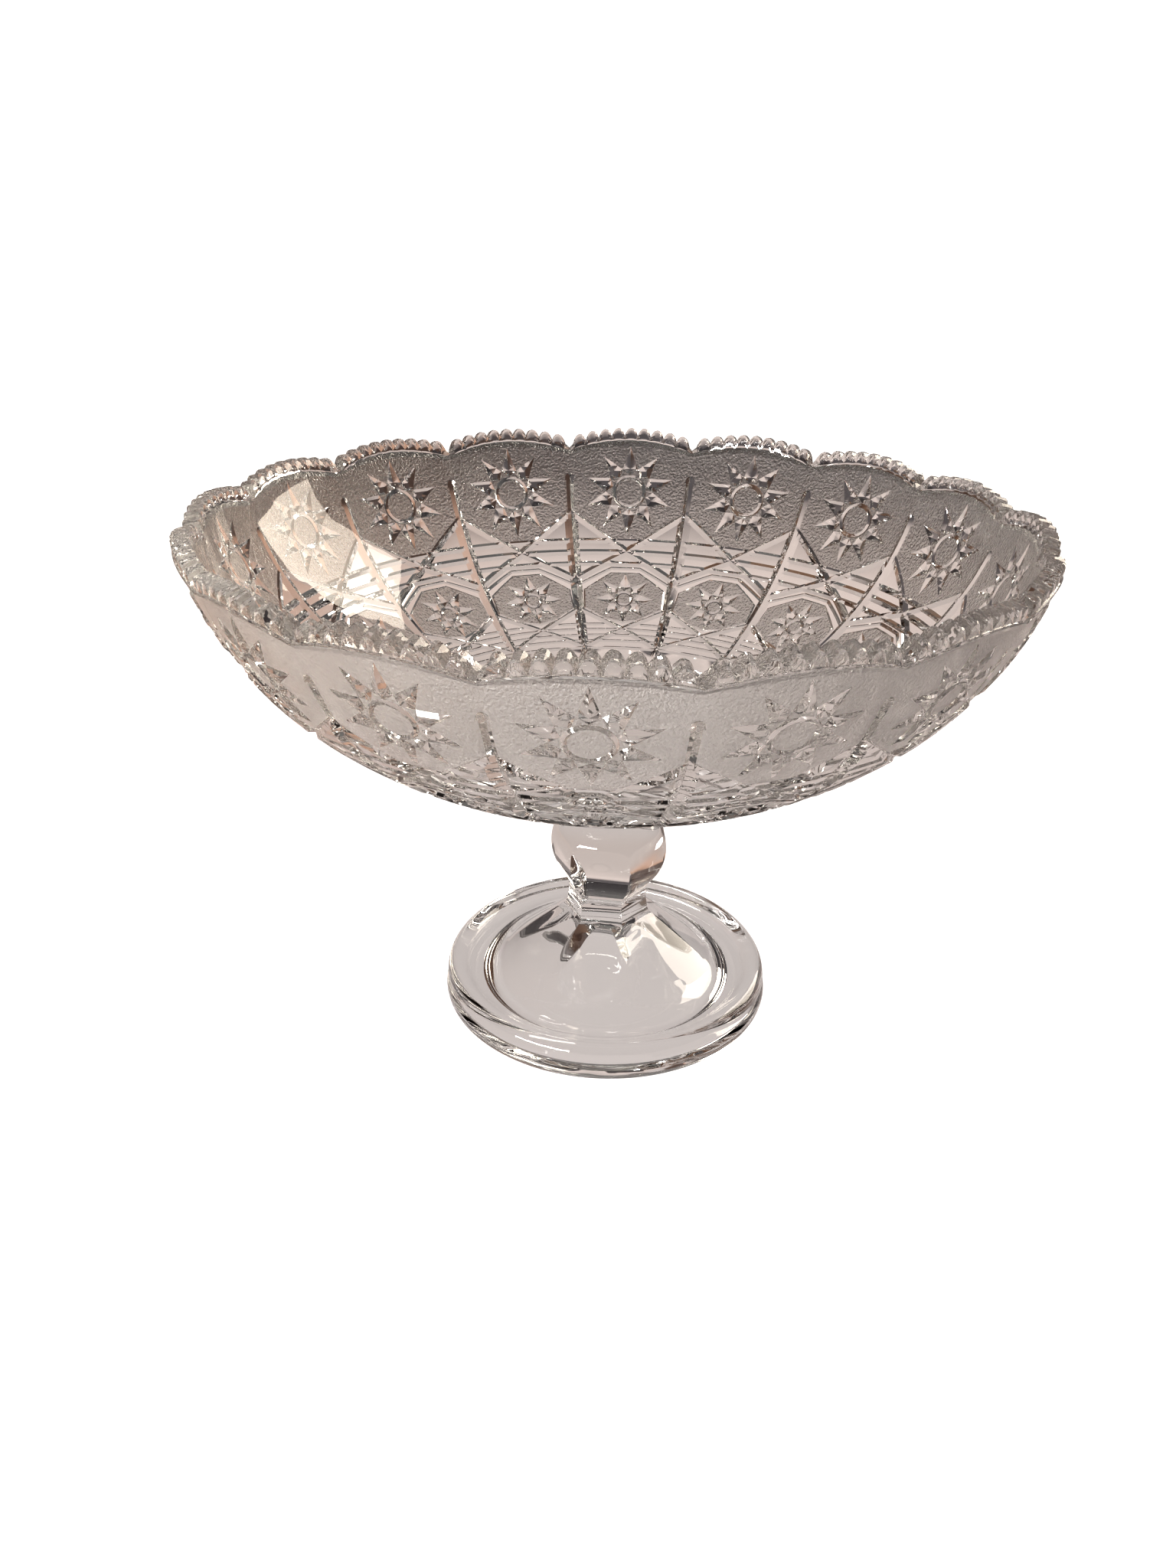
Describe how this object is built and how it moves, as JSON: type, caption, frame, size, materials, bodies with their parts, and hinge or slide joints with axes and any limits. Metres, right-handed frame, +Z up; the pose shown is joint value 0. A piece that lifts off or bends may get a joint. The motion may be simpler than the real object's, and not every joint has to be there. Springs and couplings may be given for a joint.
{
  "type": "punch bowl",
  "caption": "Round footed glass punch bowl with star-cut panels, a scalloped toothed rim, a faceted ball knop and a domed foot.",
  "frame": {"origin": "centre of the foot's underside, on the plane that it stands on", "axes": "+Z up along the axis of the bowl and the stem; -Y towards the viewer, through the middle of one of the sixteen panels"},
  "size_m": [0.31, 0.31, 0.207],
  "materials": {
    "clear_glass": "fire-polished pressed glass with finely stippled fields",
    "foot_glass": "fire-polished pressed glass, lightly scuffed where it stands",
    "clear_bond": "clear cured film"
  },
  "bodies": {
    "root": {"bowl": "clear_glass", "foot": "foot_glass", "bond_film": "clear_bond"}
  },
  "joints": []
}
